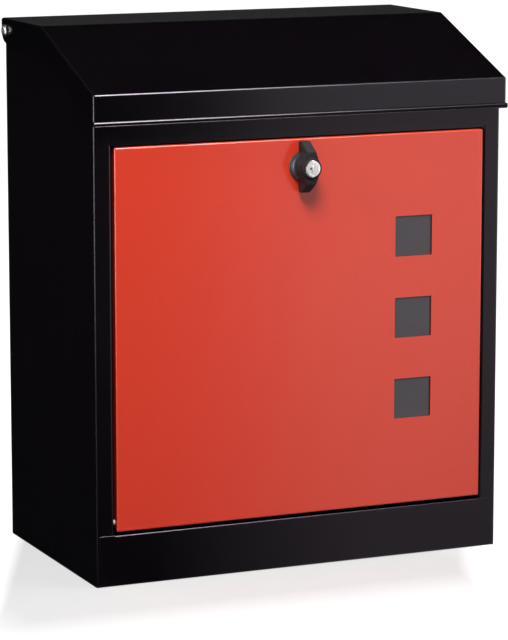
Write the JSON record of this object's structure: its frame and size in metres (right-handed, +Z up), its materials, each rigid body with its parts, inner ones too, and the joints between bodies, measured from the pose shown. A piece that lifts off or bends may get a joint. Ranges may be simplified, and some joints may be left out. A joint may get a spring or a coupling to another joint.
{
  "type": "wall mounted post box",
  "caption": "Folded steel wall post box with a hinged sloping lid, a drop-down front door with square windows, and a wing knob lock.",
  "frame": {"origin": "centre of the bounding box, at its underside, on the plane of the box's flat base", "axes": "+Z up, front with the door faces -Y, the wall is on the +Y side, +X is to the right seen from the front"},
  "size_m": [0.3194, 0.2, 0.381],
  "materials": {
    "black_paint": "fine-textured matt powder coat",
    "red_paint": "fine-textured satin powder coat",
    "smoked_sheet": "dull smoked sheet",
    "black_lock": "satin black on a die casting",
    "bright_plug": "bright plated",
    "bright_steel": "bright zinc plated",
    "zinc_steel": "dull zinc plated",
    "washer_plastic": "plain nylon"
  },
  "bodies": {
    "case": {"case_shell": "black_paint", "top_rail": "black_paint", "base_tray": "black_paint", "door_pin_left": "bright_steel", "door_pin_right": "bright_steel", "pin_ring_left": "zinc_steel", "pin_ring_right": "zinc_steel", "pivot_screw_left": "bright_steel", "pivot_screw_right": "bright_steel", "pivot_washer_left": "washer_plastic", "pivot_washer_right": "washer_plastic", "pivot_nut_left": "zinc_steel", "pivot_nut_right": "zinc_steel"},
    "lid": {"lid": "black_paint"},
    "door": {"door_panel": "red_paint", "window_pane": "smoked_sheet", "pane_clip_left_lower": "zinc_steel", "pane_clip_left_upper": "zinc_steel", "pane_clip_right_lower": "zinc_steel", "pane_clip_right_upper": "zinc_steel", "lock_housing": "black_lock", "lock_washer": "zinc_steel", "lock_nut": "zinc_steel"},
    "knob": {"wing_knob": "black_lock", "knob_spindle": "zinc_steel", "cam": "zinc_steel", "cam_washer": "zinc_steel", "cam_screw": "zinc_steel"},
    "key": {"key_plug": "bright_plug"}
  },
  "joints": [
    {"name": "lid_hinge", "type": "hinge", "parent": "case", "child": "lid", "pos_m": [0, 0.08645, 0.3725], "axis": [-1, 0, 0], "range_deg": [0, 85]},
    {"name": "door_hinge", "type": "hinge", "parent": "case", "child": "door", "pos_m": [0, -0.07755, 0.0445], "axis": [1, 0, 0], "range_deg": [0, 115]},
    {"name": "knob_turn", "type": "hinge", "parent": "door", "child": "knob", "pos_m": [0, -0.08205, 0.286], "axis": [0, 1, 0], "range_deg": [0, 90]},
    {"name": "key_turn", "type": "hinge", "parent": "knob", "child": "key", "pos_m": [0, -0.09, 0.286], "axis": [0, 1, 0], "range_deg": [0, 90]}
  ]
}
